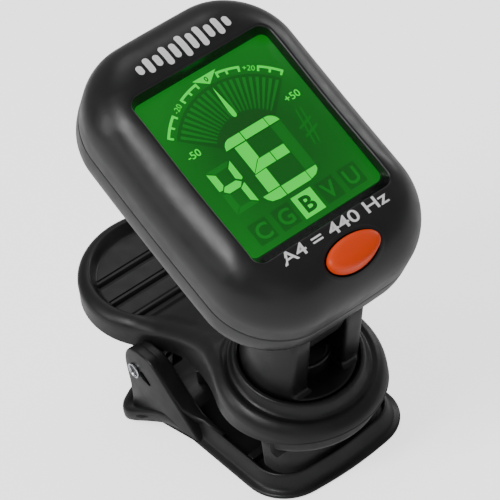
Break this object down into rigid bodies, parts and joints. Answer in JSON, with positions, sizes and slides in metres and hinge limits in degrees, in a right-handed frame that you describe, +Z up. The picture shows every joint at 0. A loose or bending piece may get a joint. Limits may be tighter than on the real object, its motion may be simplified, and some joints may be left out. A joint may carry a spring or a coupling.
{
  "type": "clip on tuner",
  "caption": "Clip-on tuner: a sprung two-lever clip with rubber jaw pads carries an oval-edged display head on a turntable and a tilting knuckle, with an orange power button.",
  "frame": {"origin": "centre of the box round the whole tuner, at the level it rests on", "axes": "+X across the clip, +Y towards the thumb end, -Y towards the jaw tip, +Z up"},
  "size_m": [0.0362, 0.0728, 0.0721],
  "materials": {
    "casing": "satin black",
    "rear_shell": "satin black",
    "door_plastic": "satin black",
    "lever_plastic": "satin black",
    "turntable_plastic": "satin black",
    "rubber_pad": "soft black",
    "pin_steel": "polished",
    "spring_steel": "bright wire",
    "screw_steel": "black zinc",
    "washer_steel": "plain",
    "clear_window": "clear",
    "lcd_glass": "lit green",
    "diffuser_plastic": "milky",
    "led_body": "clear yellow",
    "zebra_rubber": "striped",
    "board_laminate": "green solder mask",
    "chip_epoxy": "moulded",
    "switch_body": "stamped",
    "piezo_brass": "plain",
    "cell_steel": "nickel",
    "contact_metal": "nickel plated",
    "button_plastic": "satin orange"
  },
  "bodies": {
    "lower_clip": {"lower_lever": "lever_plastic", "lower_pad": "rubber_pad", "clip_pin": "pin_steel", "torsion_spring": "spring_steel"},
    "upper_clip": {"upper_lever": "lever_plastic", "upper_pad": "rubber_pad"},
    "turntable": {"swivel_base": "turntable_plastic", "swivel_screw": "screw_steel", "spring_washer": "washer_steel", "tilt_pin": "pin_steel"},
    "head": {"front_casing": "casing", "rear_cover": "rear_shell", "lens_window": "clear_window", "lcd_panel": "lcd_glass", "backlight_diffuser": "diffuser_plastic", "backlight_leds": "led_body", "zebra_strip": "zebra_rubber", "circuit_board": "board_laminate", "controller_chip": "chip_epoxy", "tact_switch": "switch_body", "piezo_disc": "piezo_brass", "coin_cell": "cell_steel", "contact_plus": "contact_metal", "contact_minus": "contact_metal", "case_screws": "screw_steel"},
    "button": {"power_button": "button_plastic"},
    "door": {"battery_door": "door_plastic"}
  },
  "joints": [
    {"name": "clip_open", "type": "hinge", "parent": "lower_clip", "child": "upper_clip", "pos_m": [0, 0.01345, 0.01162], "axis": [-1, 0, 0], "range_deg": [0, 30], "stiffness_Nm_per_rad": 0.1, "springref_deg": -28.65, "deforming": ["torsion_spring"]},
    {"name": "swivel_turn", "type": "hinge", "parent": "upper_clip", "child": "turntable", "pos_m": [0, -0.01374, 0.01925], "axis": [0, -0.3766, 0.9264], "continuous": true},
    {"name": "head_tilt", "type": "hinge", "parent": "turntable", "child": "head", "pos_m": [0, -0.01789, 0.02944], "axis": [1, 0, 0], "range_deg": [-30, 70]},
    {"name": "button_press", "type": "slide", "parent": "head", "child": "button", "axis": [0, 0.6035, -0.7974], "range_m": [0, 0.0005], "stiffness_N_per_m": 1000, "springref_m": -0.0005},
    {"name": "door_slide", "type": "slide", "parent": "head", "child": "door", "axis": [0, 0.7974, 0.6035], "range_m": [0, 0.022]}
  ]
}
